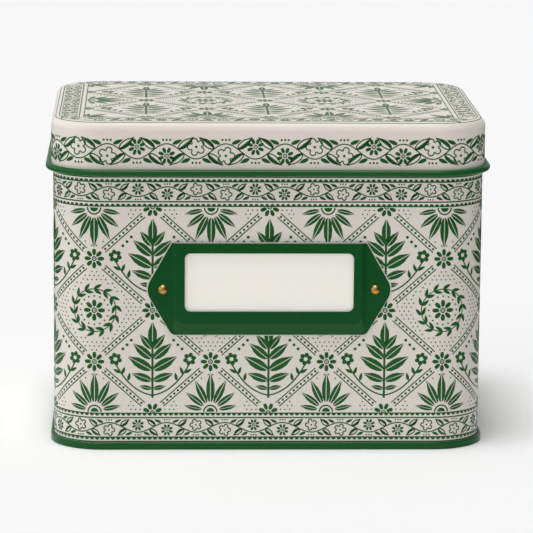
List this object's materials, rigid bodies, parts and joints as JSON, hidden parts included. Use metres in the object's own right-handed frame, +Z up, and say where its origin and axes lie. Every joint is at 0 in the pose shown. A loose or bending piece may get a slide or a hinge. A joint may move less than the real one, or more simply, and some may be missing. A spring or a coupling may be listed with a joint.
{
  "type": "recipe tin",
  "caption": "Rounded tinplate box with a lift-off slip lid and a riveted label holder on the front, for index cards stood on edge.",
  "frame": {"origin": "on the surface that the tin stands on, under the middle of the tin", "axes": "+Z up, +X along the long side to the right as the front is looked at, the label holder faces -Y"},
  "size_m": [0.1708, 0.1234, 0.127],
  "materials": {
    "wall_print": "satin printed tinplate, green pattern on warm white",
    "lid_print": "satin printed tinplate, green pattern on warm white",
    "seam_enamel": "glossy green lacquer on the seam, plain tinplate under and inside",
    "holder_enamel": "glossy green enamel",
    "rivet_brass": "polished",
    "label_paper": "uncoated card"
  },
  "bodies": {
    "tin": {"body_wall": "wall_print", "bottom_plate": "seam_enamel", "label_holder": "holder_enamel", "rivet_left": "rivet_brass", "rivet_right": "rivet_brass"},
    "lid": {"lid": "lid_print"},
    "label_card": {"label_card": "label_paper"}
  },
  "joints": [
    {"name": "lid_lift", "type": "slide", "parent": "tin", "child": "lid", "axis": [0, 0, 1], "range_m": [0, 0.06]},
    {"name": "card_slide", "type": "slide", "parent": "tin", "child": "label_card", "axis": [0, 0, 1], "range_m": [0, 0.026]}
  ]
}
